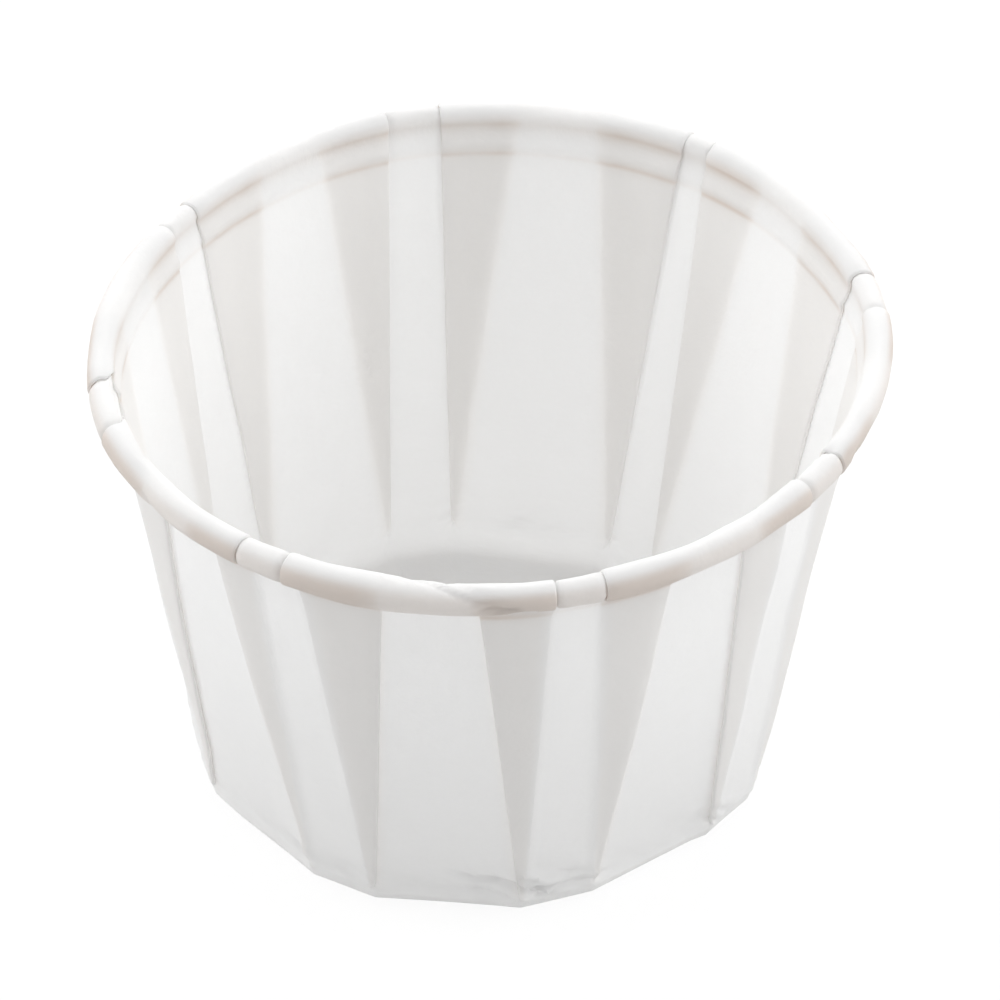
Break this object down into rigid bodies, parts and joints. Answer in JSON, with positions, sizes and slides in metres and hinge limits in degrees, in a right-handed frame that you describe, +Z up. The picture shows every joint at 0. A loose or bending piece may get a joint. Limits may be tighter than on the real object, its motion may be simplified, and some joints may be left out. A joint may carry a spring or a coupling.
{
  "type": "paper souffle cup",
  "caption": "Small white paper medicine or portion cup with a flat base, a tapered wall of pressed box pleats and an outward rolled rim.",
  "frame": {"origin": "centre of the underside of the base", "axes": "+Z up along the cup's axis, from the base to the rolled rim; -Y is the side that faces the viewer"},
  "size_m": [0.047, 0.0494, 0.0295],
  "materials": {
    "paper": "matt uncoated white paper, slightly translucent where it is one layer thick"
  },
  "bodies": {
    "root": {"cup": "paper"}
  },
  "joints": []
}
